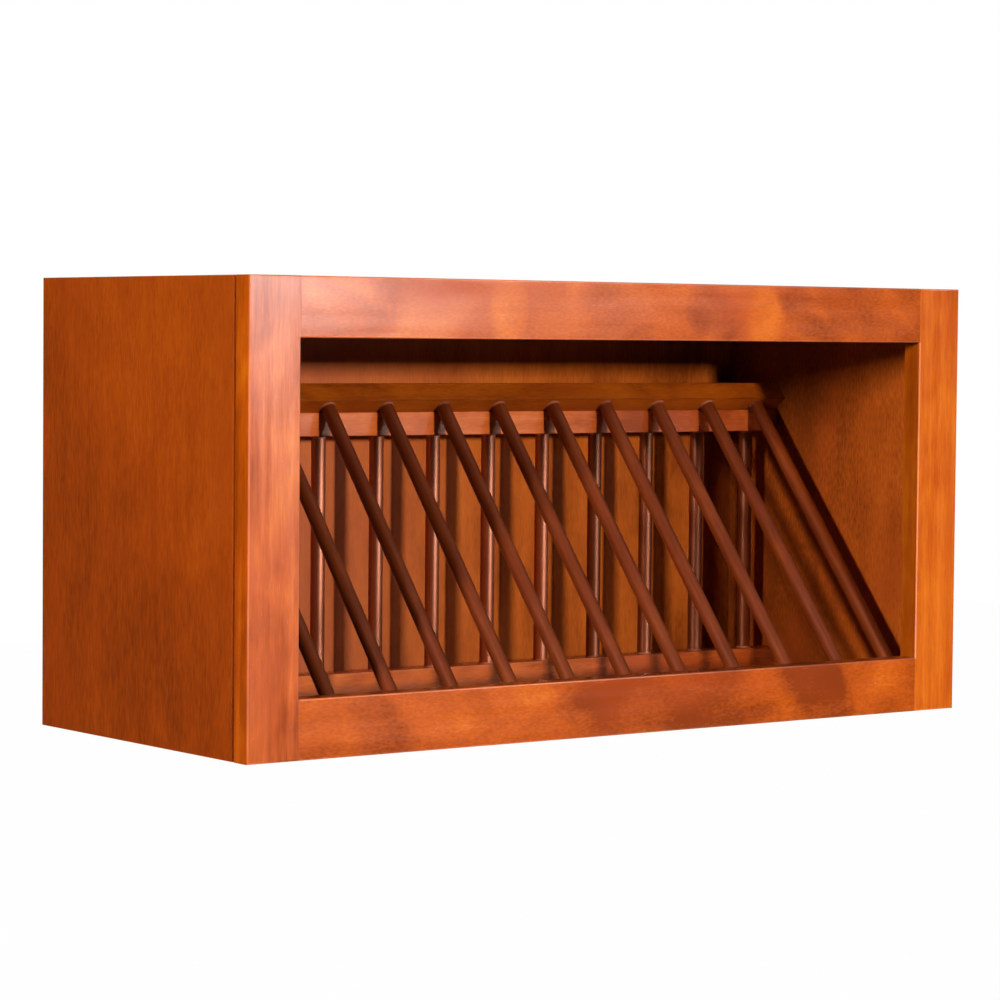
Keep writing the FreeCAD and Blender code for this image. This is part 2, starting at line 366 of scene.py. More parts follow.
@dataclass(frozen=True)
class StainedWood:
    """Close-grained hardwood under a reddish-brown stain and clear lacquer.

    The tones run from the stain that gathers in dark streaks to the pale figure, and the strengths say how
    much of each pattern shows.
    """

    name: str
    grain: Grain
    deep: Color
    body: Color
    pale: Color
    rosy: Color
    wear_and_painted_light: Color
    clouds: float = 1.0
    figure: float = 0.5
    streaks: float = 1.0
    flecks: float = 0.7
    fibre: float = 0.02
    pores: float = 0.5
    rub_and_painted_light: float = 0.3
    relief: float = 0.16
    roughness: float = 0.3
    specular: float = 0.5
    gloss_tint: Color = (1.0, 1.0, 1.0, 1.0)
    ior: float = 1.5
    lean: float = 0.0
    seed: float = 0.0
    tone_patches: tuple[TonePatch, ...] = ()

    def material(self) -> bpy.types.Material:
        """Build the finish.

        Returns:
            The material, patterned on Object coordinates.
        """
        made, g = new_material(self.name)
        shift = (self.seed * 1.37, self.seed * 0.71, self.seed * 2.13)
        place = g.placed(self.grain.turn(self.lean), shift)
        cloud = g.noise(place, CLOUD_CELL, 3.0, 0.6)
        patch = g.noise(place, PATCH_CELL, 1.0)
        broad = g.noise(place, STREAK_CELL, 3.0, 0.2)
        fine = g.noise(place, (self.fibre, FIBRE_WIDTH, FIBRE_WIDTH), 3.0)
        dash = g.noise(place, PORE_CELL, 1.0).between(0.60, 0.72)
        ripple = self._ripple(g, place) * patch.between(0.42, 0.68)
        shade = (
            0.5
            + (cloud - 0.5) * (CLOUD_TONE * self.clouds)
            + (broad - 0.5) * (STREAK_TONE * self.streaks)
            + (fine - 0.5) * (FLECK_TONE * self.flecks)
            + ripple * (FIGURE_TONE * self.figure)
        )
        for tone_patch in self.tone_patches:
            shade = shade + tone_patch.shade(g, cloud)
        color = g.ramp(shade.clamped(), [(0.0, self.deep), (0.5, self.body), (1.0, self.pale)])
        blush = g.noise(place, BLUSH_CELL, 2.0).between(0.46, 0.74) * (BLUSH_TONE * self.clouds)
        color = g.blend(blush, color, self.rosy)
        color = g.blend(dash * (PORE_TONE * self.pores), color, self.deep)
        # Rounded edges and the dowels' beads take the last tone: wear on the frame and panels, a painted highlight on
        # the beads and painted shade on the rack's rails.
        arris = g.face_mark("arris")
        rub_and_painted_light = arris * g.noise(place, RUB_CELL, 2.0).between(0.32, 0.62)
        peel = g.noise(g.coords(), PEEL_CELL, 1.0)
        height = fine * FIBRE_RISE + broad * STREAK_RISE + peel * PEEL_RISE - dash * (PORE_DROP * self.pores)
        dull = (broad - 0.5) * STREAK_DULL + (cloud - 0.5) * CLOUD_DULL
        dull = dull + dash * (PORE_DULL * self.pores) + arris * ARRIS_DULL
        inputs = {
            "Base Color": g.blend(rub_and_painted_light * self.rub_and_painted_light, color, self.wear_and_painted_light),
            "Roughness": self.roughness + dull,
            "Specular IOR Level": self.specular,
            "Specular Tint": self.gloss_tint,
            "IOR": self.ior,
        }
        g.surface(self.relief, WOOD_RELIEF, height, inputs)
        return made

    @staticmethod
    def _ripple(g: Graph, place: bpy.types.NodeSocket) -> Val:
        """Slanting bands of curly figure across the fibres.

        Args:
            g: The graph to add to.
            place: Pattern coordinates.

        Returns:
            A value from -1 to 1.
        """
        wander = g.noise(place, RIPPLE_CELL, 2.0)
        along = g.axis(place, Axis.X) * RIPPLE_ALONG
        across = g.axis(place, Axis.Z) * RIPPLE_ACROSS
        through = g.axis(place, Axis.Y) * RIPPLE_ACROSS
        return g.math("SINE", along + across + through + wander * RIPPLE_WANDER)


@dataclass(frozen=True)
class RawPlywood:
    """Bare birch plywood: a pale rotary face, and layered plies on the edges."""

    name: str
    face: Color
    face_dark: Color
    ply_light: Color
    ply_dark: Color
    ply: float = 1.5 * MM
    stack: Axis = Axis.Y

    def material(self) -> bpy.types.Material:
        """Build the finish.

        Returns:
            The material, with plies counted along the sheet's thickness.
        """
        made, g = new_material(self.name)
        color, height = self.pattern(g)
        g.surface(0.3, 0.3 * MM, height, {"Base Color": color, "Roughness": height * 0.2 + 0.62})
        return made

    def pattern(self, g: Graph) -> tuple[bpy.types.NodeSocket, Val]:
        """Colour and relief of the sheet.

        Args:
            g: The graph to add to.

        Returns:
            The colour output and the height.
        """
        place = g.coords()
        swirl = g.noise(place, (0.24, 0.03, 0.03), 4.0, 1.8)
        fibre = g.noise(place, (0.04, 0.0012, 0.0012), 2.0)
        face = g.ramp((swirl * 1.6 + fibre * 0.5 - 0.55).clamped(), [(0.0, self.face_dark), (1.0, self.face)])
        depth = g.axis(place, self.stack) * (0.5 / self.ply)
        layer = g.math("FRACT", depth).between(0.42, 0.58)
        edge = g.blend(layer, self.ply_light, self.ply_dark)
        edge = g.blend(fibre.between(0.4, 0.75) * 0.5, edge, self.ply_dark)
        normal = g.axis(g.node("ShaderNodeNewGeometry").outputs["True Normal"], self.stack)
        flat = normal.size().between(0.5, 0.7)
        return g.blend(flat, edge, face), fibre


@dataclass(frozen=True)
class BackSheet:
    """Thin back sheet: stained veneer towards the plates and bare plywood towards the wall."""

    name: str
    veneer: StainedWood
    plywood: RawPlywood
    middle: float
    parting: float = 0.2 * MM

    def material(self) -> bpy.types.Material:
        """Build both faces in one finish, parted in the middle of the sheet.

        Returns:
            The material.
        """
        made, g = new_material(self.name)
        place = g.placed(self.veneer.grain.turn(0.0), (self.veneer.seed, 0.3, 0.7))
        cloud = g.noise(place, (0.09, 0.05, 0.05), 4.0, 0.5)
        broad = g.noise(place, (0.12, 0.012, 0.012), 3.0)
        fine = g.noise(place, (0.009, 0.0016, 0.0016), 3.0)
        shade = 0.5 + (cloud - 0.5) * 0.9 + (broad - 0.5) * 0.45 + (fine - 0.5) * 0.55
        across = g.axis(g.coords(), Axis.X)
        # Painted shade: the tone darkens towards the right-hand end. Painted sheen: towards the left-hand end the
        # colour turns rosy and pale.
        shade = shade - across.between(0.02, 0.26) * 0.16 - across.between(0.22, 0.3) * 0.18
        stops = [(0.0, self.veneer.deep), (0.5, self.veneer.body), (1.0, self.veneer.pale)]
        veneer_with_painted_light = g.blend((1.0 - across.between(-0.34, 0.16)) * 0.75, g.ramp(shade.clamped(), stops), self.veneer.rosy)
        bare, relief = self.plywood.pattern(g)
        rear = g.axis(g.coords(), Axis.Y).between(self.middle - self.parting, self.middle + self.parting)
        inputs = {
            "Base Color": g.blend(rear, veneer_with_painted_light, bare),
            "Roughness": self.veneer.roughness + rear * 0.3 + (broad - 0.5) * 0.1,
            "Specular IOR Level": self.veneer.specular,
        }
        g.surface(0.2, 0.2 * MM, fine * 0.6 + relief * 0.4, inputs)
        return made


@dataclass(frozen=True)
class ZincSteel:
    """Zinc plated steel with a faint yellow-grey bloom."""

    name: str
    bright: Color
    dull: Color

    def material(self) -> bpy.types.Material:
        """Build the finish.

        Returns:
            The material.
        """
        made, g = new_material(self.name)
        bloom = g.noise(g.coords(), (0.0016, 0.0016, 0.0016), 3.0)
        lathe = g.noise(g.coords(), (0.0003, 0.004, 0.0003), 1.0)
        color = g.blend(bloom.between(0.35, 0.7), self.bright, self.dull)
        g.surface(0.2, 0.05 * MM, lathe, {"Base Color": color, "Metallic": 1.0, "Roughness": bloom * 0.25 + 0.22})
        return made


class Workpiece:
    """A piece on the bench: a mesh that is cut, eased and then placed in the cabinet."""

    def __init__(self, name: str) -> None:
        """Start an empty piece whose faces can be marked to take the edge tone, which is wear on some pieces and
        painted light on others.

        Args:
            name: The piece's name.
        """
        self.name = name
        self.bm = bmesh.new()
        self.arris = self.bm.faces.layers.float.new("arris")

    def board(self, low: Sequence[float], high: Sequence[float]) -> "Workpiece":
        """Start from a square board.

        Args:
            low: Its lowest corner.
            high: Its highest corner.

        Returns:
            This piece.
        """
        low_corner, high_corner = Vector(low), Vector(high)
        made = bmesh.ops.create_cube(self.bm, size=1.0)["verts"]
        bmesh.ops.scale(self.bm, vec=high_corner - low_corner, verts=made)
        bmesh.ops.translate(self.bm, vec=(low_corner + high_corner) / 2, verts=made)
        return self

    def bar(self, section: Iterable[Vector], run: Vector) -> "Workpiece":
        """Start from a section that is run out in a straight line.

        Args:
            section: Corners of the section, in order.
            run: How far the section runs.

        Returns:
            This piece.
        """
        face = self.bm.faces.new([self.bm.verts.new(corner) for corner in section])
        grown = bmesh.ops.extrude_face_region(self.bm, geom=[face])["geom"]
        ends = [item for item in grown if isinstance(item, bmesh.types.BMVert)]
        bmesh.ops.translate(self.bm, vec=run, verts=ends)
        bmesh.ops.recalc_face_normals(self.bm, faces=self.bm.faces[:])
        return self

    def turned(self, profile: Sequence[tuple[float, float]], foot: Vector, axis: Vector, steps: int) -> "Workpiece":
        """Start from a profile that is turned round an axis.

        Args:
            profile: Radius and distance along the axis of each point, closed at both ends by a radius of 0.
            foot: Where the axis starts.
            axis: Direction of the axis.
            steps: Number of steps in a turn.

        Returns:
            This piece.
        """
        out = axis.orthogonal().normalized()
        points = [self.bm.verts.new(foot + axis * along + out * radius) for radius, along in profile]
        edges = [self.bm.edges.new(pair) for pair in zip(points, points[1:])]
        bmesh.ops.spin(
            self.bm, geom=points + edges, cent=foot, axis=axis, angle=2 * math.pi, steps=steps, use_merge=True
        )
        bmesh.ops.remove_doubles(self.bm, verts=self.bm.verts[:], dist=SAME_PLACE / 4)
        bmesh.ops.recalc_face_normals(self.bm, faces=self.bm.faces[:])
        for face in self.bm.faces:
            face.smooth = abs(face.normal.dot(axis)) < FACING
        return self

    def split(self, axis: Axis, place: float) -> "Workpiece":
        """Score the piece all round, so that an edge can change there.

        Args:
            axis: Axis that the score stands across.
            place: Where on that axis it lies.

        Returns:
            This piece.
        """
        point, normal = Vector((0, 0, 0)), Vector((0, 0, 0))
        point[axis.value] = place
        normal[axis.value] = 1.0
        geometry = self.bm.verts[:] + self.bm.edges[:] + self.bm.faces[:]
        bmesh.ops.bisect_plane(self.bm, geom=geometry, plane_co=point, plane_no=normal, dist=SAME_PLACE)
        return self

    def planed(self, point: Vector, normal: Vector) -> "Workpiece":
        """Plane off what lies beyond a plane and close the flat.

        Args:
            point: A point of the plane.
            normal: Direction of the side that is taken off.

        Returns:
            This piece.
        """
        geometry = self.bm.verts[:] + self.bm.edges[:] + self.bm.faces[:]
        bmesh.ops.bisect_plane(
            self.bm, geom=geometry, plane_co=point, plane_no=normal, dist=SAME_PLACE, clear_outer=True
        )
        rim = [edge for edge in self.bm.edges if edge.is_boundary]
        bmesh.ops.holes_fill(self.bm, edges=rim, sides=0)
        bmesh.ops.recalc_face_normals(self.bm, faces=self.bm.faces[:])
        return self

    def edges_along(
        self, axis: Axis, at: dict[Axis, Sequence[float]], span: Optional[tuple[float, float]] = None
    ) -> list[bmesh.types.BMEdge]:
        """Find straight edges by their direction and place.

        Args:
            axis: Axis that the edges run along.
            at: Places on the other axes where the edges may lie.
            span: Limits for the middle of an edge along its own axis.

        Returns:
            The edges that fit.
        """
        found = []
        for edge in self.bm.edges:
            first, last = edge.verts[0].co, edge.verts[1].co
            run = (last - first).normalized()
            if abs(run[axis.value]) < PARALLEL:
                continue
            off = [min(abs(first[other.value] - place) for place in places) for other, places in at.items()]
            if any(gap > SAME_PLACE for gap in off):
                continue
            middle = (first[axis.value] + last[axis.value]) / 2
            if span is None or span[0] < middle < span[1]:
                found.append(edge)
        return found

    def ease(self, edges: Sequence[bmesh.types.BMEdge], radius: float, segments: int = 4) -> "Workpiece":
        """Round edges over and mark the new faces to take the edge tone.

        Args:
            edges: The edges to round.
            radius: How far the rounding reaches.
            segments: Number of steps in the rounding.

        Returns:
            This piece.
        """
        made = bmesh.ops.bevel(
            self.bm, geom=list(edges), offset=radius, offset_type="OFFSET", affect="EDGES", segments=segments,
            profile=0.5, material=-1,
        )
        for face in made["faces"]:
            face[self.arris] = 1.0
            face.smooth = True
        return self

    def fitted(
        self,
        finish: bpy.types.Material,
        slot: str,
        nodes: Sequence[str] = (),
        choose: Optional[Callable[[bmesh.types.BMFace], int]] = None,
        more: Sequence[bpy.types.Material] = (),
    ) -> bpy.types.Object:
        """slot: Not used. The record's material slot.
            nodes: CAD nodes that this piece stands for.
            choose: Picks a finish by number for each face.
            more: Further finishes, numbered from 1.

        Returns:
            The object, riding on the cabinet.
        """
        if choose is not None:
            for face in self.bm.faces:
                face.material_index = choose(face)
        mesh = bpy.data.meshes.new(self.name)
        self.bm.to_mesh(mesh)
        self.bm.free()
        for material in (finish, *more):
            mesh.materials.append(material)
        made = bpy.data.objects.new(self.name, mesh)
        bpy.context.scene.collection.objects.link(made)
        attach(made, BODY)
        if nodes:
            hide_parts(*nodes)
        LOG.info("%s: %d faces", self.name, len(mesh.polygons))
        return made


def dress_node(name: str, finish: bpy.types.Material) -> None:
    """Give a CAD node that stays in view its finish.

    Args:
        name: The node.
        finish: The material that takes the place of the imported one.
    """
    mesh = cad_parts[name].data
    mesh.materials.clear()
    mesh.materials.append(finish)
    LOG.info("%s: kept from the frame", name)


def stain(*tones: tuple[int, int, int]) -> dict[str, Color]:
    """Name a stain's display colours as StainedWood takes them: deep, body, pale, rosy, and the edge tone that is wear
    on some pieces and painted light on others.
    """
    return {name: tone(*levels) for name, levels in zip(("deep", "body", "pale", "rosy", "wear_and_painted_light"), tones)}


FRAME_WOOD = stain((132, 50, 4), (188, 81, 7), (222, 114, 12), (175, 67, 12), (210, 106, 29))
VENEER = stain((114, 47, 7), (158, 69, 13), (186, 90, 22), (152, 60, 15), (176, 86, 32))
BACK_VENEER = stain((124, 54, 12), (180, 86, 26), (207, 110, 38), (190, 104, 74), (200, 108, 46))
SIDE_VENEER = stain((112, 41, 3), (156, 62, 5), (182, 80, 9), (149, 55, 6), (170, 75, 16))
# Painted shade: the decks are darker than the other veneers, to deepen the shade inside the box.
DECK_PAINTED_SHADE_VENEER = stain((66, 25, 5), (98, 39, 9), (126, 56, 14), (94, 35, 10), (140, 66, 24))
# Its last tone, darker than the body, is painted shade on the rack rails' rounded edges, which damps their highlight.
RACK_WOOD = stain((98, 38, 5), (148, 64, 8), (178, 86, 14), (142, 56, 12), (112, 45, 6))
REAR_RAIL_WOOD = stain((146, 58, 16), (202, 96, 38), (228, 124, 56), (194, 88, 46), (222, 126, 66))
# The dowels' last tones are pale: a painted highlight on the lacquer beads where the dowels enter their rails.
LEANING_WOOD = stain((62, 21, 4), (99, 37, 7), (126, 54, 12), (98, 33, 10), (188, 112, 78))
UPRIGHT_WOOD = stain((96, 34, 8), (146, 57, 17), (170, 76, 27), (138, 50, 19), (206, 128, 92))
# Painted shade: darker wood for the frame's edges beside the opening and its faces towards the box.
OPENING_EDGE_PAINTED_SHADE = stain((108, 41, 3), (150, 64, 5), (178, 90, 9), (140, 53, 8), (196, 98, 26))
BOX_FACE_PAINTED_SHADE = stain((58, 20, 4), (86, 32, 6), (108, 44, 9), (82, 28, 6), (108, 44, 9))
BIRCH_PLY = RawPlywood(
    name="birch_plywood",
    face=tone(222, 190, 146),
    face_dark=tone(196, 156, 108),
    ply_light=tone(214, 178, 132),
    ply_dark=tone(156, 112, 70),
)
PLY_EDGE = RawPlywood(
    name="side_ply_edge",
    face=tone(170, 96, 48),
    face_dark=tone(136, 68, 30),
    ply_light=tone(170, 96, 48),
    ply_dark=tone(110, 52, 22),
    ply=1.33 * MM,
    stack=Axis.X,
)
WARM_GLOSS = tone(255, 180, 158)
# How a slanting mark is turned, and the plane of the face frame's front.
SLANT = (0.0, math.radians(45), 0.0)
FRONT_FACE = -0.162


def on_front(
    middle: tuple[float, float],
    reach: tuple[float, float],
    amount: float,
    slant: tuple[float, float, float] = (0.0, 0.0, 0.0),
    fray: float = 1.6,
) -> TonePatch:
    """Place a mark on the front of the face frame, by its middle and its half size across and up."""
    return TonePatch((middle[0], FRONT_FACE, middle[1]), (reach[0], 1.0, reach[1]), amount, slant, fray)


FRAME_MARKS = {
    "frame_bottom_rail": (
        on_front((-0.02, 0.024), (0.5, 0.2), -0.13, fray=0.2),
        on_front((-0.255, 0.02), (0.045, 0.028), -0.2, SLANT),
        on_front((-0.165, 0.028), (0.04, 0.03), 0.02),
        on_front((-0.05, 0.03), (0.05, 0.03), -0.16, SLANT),
        on_front((0.06, 0.03), (0.12, 0.06), -0.32),
        on_front((0.215, 0.022), (0.075, 0.035), -0.34, SLANT),
        on_front((0.308, 0.03), (0.05, 0.018), 0.08, SLANT, fray=0.8),
    ),
    "frame_top_rail": (
        on_front((-0.13, 0.36), (0.022, 0.04), 0.26),
        on_front((-0.02, 0.355), (0.06, 0.04), -0.26, SLANT),
        on_front((0.09, 0.36), (0.045, 0.028), -0.36, SLANT),
        on_front((0.148, 0.352), (0.022, 0.04), 0.28),
        on_front((0.19, 0.36), (0.04, 0.02), -0.3, SLANT),
        on_front((0.27, 0.357), (0.08, 0.06), -0.2),
    ),
    "right_stile": (on_front((0.357, 0.15), (0.08, 0.24), 0.18),),
    "left_stile": (on_front((-0.357, 0.06), (0.08, 0.14), -0.2),),
}


@dataclass
class FaceFrame:
    """Solid face frame: two stiles with a top and a bottom rail between them."""

    arris: float = 1.2 * MM
    seam: float = 0.22 * MM
    front: float = field(default=0.0, init=False)
    opening_low: float = field(default=0.0, init=False)
    opening_high: float = field(default=0.0, init=False)

    def __post_init__(self) -> None:
        """Read the frame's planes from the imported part."""
        self.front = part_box("frame_top_rail")[0].y
        self.opening_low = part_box("frame_bottom_rail")[1].z
        self.opening_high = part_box("frame_top_rail")[0].z

    def build(self) -> None:
        """Make the four members and dress each with its own cut of wood."""
        for index, node in enumerate(("left_stile", "right_stile")):
            self._stile(node, 0.31 + 1.9 * index)
        for index, node in enumerate(("frame_bottom_rail", "frame_top_rail")):
            self._rail(node, 4.2 + 2.3 * index)

    def _stile(self, node: str, seed: float) -> None:
        """Make an upright member, eased along the rim and beside the opening.

        Args:
            node: The CAD node.
            seed: Where in the plank the piece was cut.
        """
        low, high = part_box(node)
        outer, inner = (low.x, high.x) if high.x < 0 else (high.x, low.x)
        piece = Workpiece(f"{node}_member").board(low, high)
        piece.split(Axis.Z, self.opening_low).split(Axis.Z, self.opening_high)
        rim = piece.edges_along(Axis.Z, {Axis.X: [outer], Axis.Y: [self.front]})
        opening = (self.opening_low, self.opening_high)
        beside = piece.edges_along(Axis.Z, {Axis.X: [inner], Axis.Y: [self.front]}, opening)
        ends = piece.edges_along(Axis.X, {Axis.Y: [self.front], Axis.Z: [low.z, high.z]})
        piece.ease(rim + beside + ends, self.arris)
        finish = StainedWood(
            name=f"{node}_stain", grain=Grain.UPRIGHT, seed=seed, clouds=0.6, figure=0.12, streaks=0.8,
            flecks=0.6, pores=0.4, roughness=0.22, specular=0.41, tone_patches=FRAME_MARKS[node], **FRAME_WOOD,
        )
        self._dress(piece, node, finish)

    def _rail(self, node: str, seed: float) -> None:
        """Make a level member, eased along both long edges, with a fine seam against the stiles.

        Args:
            node: The CAD node.
            seed: Where in the plank the piece was cut.
        """
        low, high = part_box(node)
        piece = Workpiece(f"{node}_member").board(low, high)
        piece.ease(piece.edges_along(Axis.X, {Axis.Y: [self.front], Axis.Z: [low.z, high.z]}), self.arris)
        piece.ease(piece.edges_along(Axis.Z, {Axis.Y: [self.front], Axis.X: [low.x, high.x]}), self.seam, 1)
        finish = StainedWood(
            name=f"{node}_stain", grain=Grain.LEVEL, seed=seed, clouds=0.75, figure=0.2, streaks=0.12,
            flecks=0.8, fibre=0.0045, pores=0.3, roughness=0.22, specular=0.41,
            tone_patches=FRAME_MARKS[node], **FRAME_WOOD,
        )
        self._dress(piece, node, finish)

    @staticmethod
    def _dress(piece: Workpiece, node: str, finish: StainedWood) -> None:
        """Finish a member, with darker wood beside the opening and on the face towards the box, as painted shade.

        Args:
            piece: The member.
            node: The CAD node.
            finish: Stain of the faces in view.
        """
        # Painted shade: darker copies of the stain for the faces towards the box and the edges beside the opening.
        inner = StainedWood(
            name=f"{node}_inner", grain=finish.grain, seed=finish.seed, clouds=0.6, streaks=0.6, roughness=0.55,
            specular=0.2, **BOX_FACE_PAINTED_SHADE,
        )
        edge = replace(finish, name=f"{node}_edge", tone_patches=(), **OPENING_EDGE_PAINTED_SHADE)

        def pick(face: bmesh.types.BMFace) -> int:
            """Choose a face's stain.

            Args:
                face: A face of the member.

            Returns:
                1 towards the box, 2 on the edge beside the opening, 0 elsewhere.
            """
            if face.normal.y > FACING:
                return 1
            beside = abs(face.normal.x) > FACING and face.normal.x * face.calc_center_median().x < 0
            return 2 if beside else 0

        piece.fitted(finish.material(), "frame_wood", [node], pick, [inner.material(), edge.material()])


@dataclass
class BoxPanels:
    """Side panels, decks and back sheet of the box behind the frame."""

    edge: float = 0.7 * MM
    groove_width: float = 3.5 * MM
    groove_depth: float = 3.0 * MM
    side_thickness: float = 12.0 * MM

    def build(self) -> None:
        """Make the sides and decks, and dress the back sheet that stays as it is."""
        for index, node in enumerate(("left_side_panel", "right_side_panel")):
            self._side(node, -1 if index == 0 else 1, 7.7 + 3.1 * index)
        for index, node in enumerate(("bottom_panel", "top_panel")):
            self._deck(node, 13.3 + 2.7 * index)
        low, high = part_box("back_panel")
        veneer = StainedWood(
            name="back_veneer", grain=Grain.UPRIGHT, seed=19.0, roughness=0.55, specular=0.008, **BACK_VENEER
        )
        sheet = BackSheet("back_sheet", veneer, BIRCH_PLY, (low.y + high.y) / 2)
        dress_node("back_panel", sheet.material())

    def _side(self, node: str, hand: int, seed: float) -> None:
        """Make a side with its shadow groove beside the stile.

        Args:
            node: The CAD node.
            hand: -1 for the left side and 1 for the right side.
            seed: Where in the sheet the piece was cut.
        """
        low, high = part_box(node)
        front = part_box("left_stile")[1].y
        outer = hand * max(abs(low.x), abs(high.x))
        floor = outer - hand * self.groove_depth
        inner = outer - hand * self.side_thickness
        corners = [
            (outer, high.y), (outer, front + self.groove_width), (floor, front + self.groove_width),
            (floor, front), (inner, front), (inner, high.y),
        ]
        piece = Workpiece(f"{node}_board")
        piece.bar([Vector((x, y, low.z)) for x, y in corners], Vector((0, 0, high.z - low.z)))
        upright = piece.edges_along(Axis.Z, {Axis.X: [outer], Axis.Y: [front + self.groove_width, high.y]})
        ends = piece.edges_along(Axis.Y, {Axis.X: [outer], Axis.Z: [low.z, high.z]})
        piece.ease(upright + ends, self.edge, 3)
        outside = StainedWood(
            name=f"{node}_outside", grain=Grain.UPRIGHT, seed=seed, clouds=0.4, figure=0.0, streaks=0.25,
            flecks=0.9, fibre=0.012, pores=0.9, relief=0.25, roughness=0.42, specular=0.12,
            # Painted light: the outside is paler towards the top front and darker towards the bottom rear, as the
            # lamp's light falls.
            tone_patches=(
                TonePatch((outer, -0.14, 0.37), (1.0, 0.3, 0.3), 0.2, fray=0.4),
                TonePatch((outer, 0.16, 0.0), (1.0, 0.4, 0.4), -0.2, fray=0.4),
            ),
            **SIDE_VENEER,
        )
        inside = StainedWood(
            name=f"{node}_inside", grain=Grain.UPRIGHT, seed=seed + 0.9, clouds=0.7, figure=0.0, streaks=0.2,
            flecks=1.5, fibre=0.007, pores=0.8, relief=0.25, roughness=0.42, specular=0.2,
            # Painted shadow: the inside darkens towards the back, where the stile's shadow falls.
            tone_patches=(TonePatch((inner, 0.13, 0.2), (1.0, 0.2, 0.5), -0.3, fray=0.5),),
            **VENEER,
        )

        def pick(face: bmesh.types.BMFace) -> int:
            """Choose a face's finish.

            Args:
                face: A face of the side.

            Returns:
                1 for the bare plies at the wall, 2 for the inside, 0 for the outside.
            """
            if face.normal.y > FACING:
                return 1
            return 2 if face.normal.x * hand < -0.5 else 0

        piece.fitted(outside.material(), "panel_veneer", [node], pick, [PLY_EDGE.material(), inside.material()])

    def _deck(self, node: str, seed: float) -> None:
        """Make the top or bottom panel between the sides.

        Args:
            node: The CAD node.
            seed: Where in the sheet the piece was cut.
        """
        low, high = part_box(node)
        inner = abs(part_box("left_side_panel")[0].x) - self.side_thickness
        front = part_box("left_stile")[1].y
        piece = Workpiece(f"{node}_board").board((-inner, front, low.z), (inner, high.y, high.z))
        piece.ease(piece.edges_along(Axis.X, {Axis.Y: [high.y], Axis.Z: [low.z, high.z]}), self.edge, 2)
        # Painted shade: the decks take a darker veneer, which deepens the shade inside the box.
        finish = StainedWood(
            name=f"{node}_stain", grain=Grain.LEVEL, seed=seed, clouds=0.6, figure=0.15, streaks=0.9,
            pores=0.8, roughness=0.62, specular=0.08, **DECK_PAINTED_SHADE_VENEER,
        )
        piece.fitted(finish.material(), "panel_veneer", [node])


@dataclass
class HangingRails:
    """Plywood rails behind the back sheet, with the screws that hold them."""

    rails: tuple[str, str] = ("upper_hanging_rail", "lower_hanging_rail")
    head_radius: float = 4.0 * MM
    shank_radius: float = 2.0 * MM
    head_height: float = 2.4 * MM
    head_sink: float = 0.05 * MM
    head_edge: float = 0.15 * MM
    length: float = 40.0 * MM
    point: float = 3.0 * MM
    screw_span: float = 618.0 * MM
    screws: int = 4
    recess_rim: float = 1.5 * MM
    recess_depth: float = 1.2 * MM
    recess_waist: float = 0.35
    recess_arm: float = 0.45

    def build(self) -> None:
        """Dress the rails and make the screws."""
        finish = BIRCH_PLY.material()
        for node in self.rails:
            dress_node(node, finish)
        low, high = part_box("hanging_rail_screws")
        zinc = ZincSteel("zinc_plate", tone(206, 204, 196), tone(168, 164, 150)).material()
        levels = (low.z + self.head_radius, high.z - self.head_radius)
        for number in range(self.screws * len(levels)):
            row, index = divmod(number, self.screws)
            x = -self.screw_span / 2 + index * self.screw_span / (self.screws - 1)
            self._screw(number + 1, Vector((x, high.y, levels[row])), zinc)

    def _screw(self, number: int, head: Vector, zinc: bpy.types.Material) -> None:
        """Make one countersunk screw with a cross recess.

        Args:
            number: Number in the piece's name.
            head: Middle of the head's flat face.
            zinc: The finish.
        """
        inward = Vector((0, -1, 0))
        profile = [
            (0.0, self.head_sink), (self.head_radius - self.head_edge, self.head_sink),
            (self.head_radius, self.head_sink + self.head_edge), (self.shank_radius, self.head_height),
            (self.shank_radius, self.length - self.point), (0.0, self.length),
        ]
        piece = Workpiece(f"hanging_screw_{number:02d}").turned(profile, head, inward, 32)
        flat = [face for face in piece.bm.faces if face.normal.y > 0.99]
        disc = bmesh.ops.dissolve_faces(piece.bm, faces=flat)["region"]
        bmesh.ops.inset_region(piece.bm, faces=disc, thickness=self.recess_rim, use_even_offset=True)
        well = bmesh.ops.extrude_face_region(piece.bm, geom=disc)["geom"]
        sunk = [item for item in well if isinstance(item, bmesh.types.BMVert)]
        bmesh.ops.delete(piece.bm, geom=disc, context="FACES_KEEP_BOUNDARY")
        middle = head + inward * self.recess_depth
        for vert in sunk:
            spoke = Vector((vert.co.x - head.x, 0, vert.co.z - head.z))
            turn = math.atan2(spoke.z, spoke.x)
            reach = self.recess_waist + self.recess_arm * abs(math.cos(2 * turn)) ** 3
            vert.co = middle + spoke * reach
        piece.fitted(zinc, "screw_steel", ["hanging_rail_screws"])


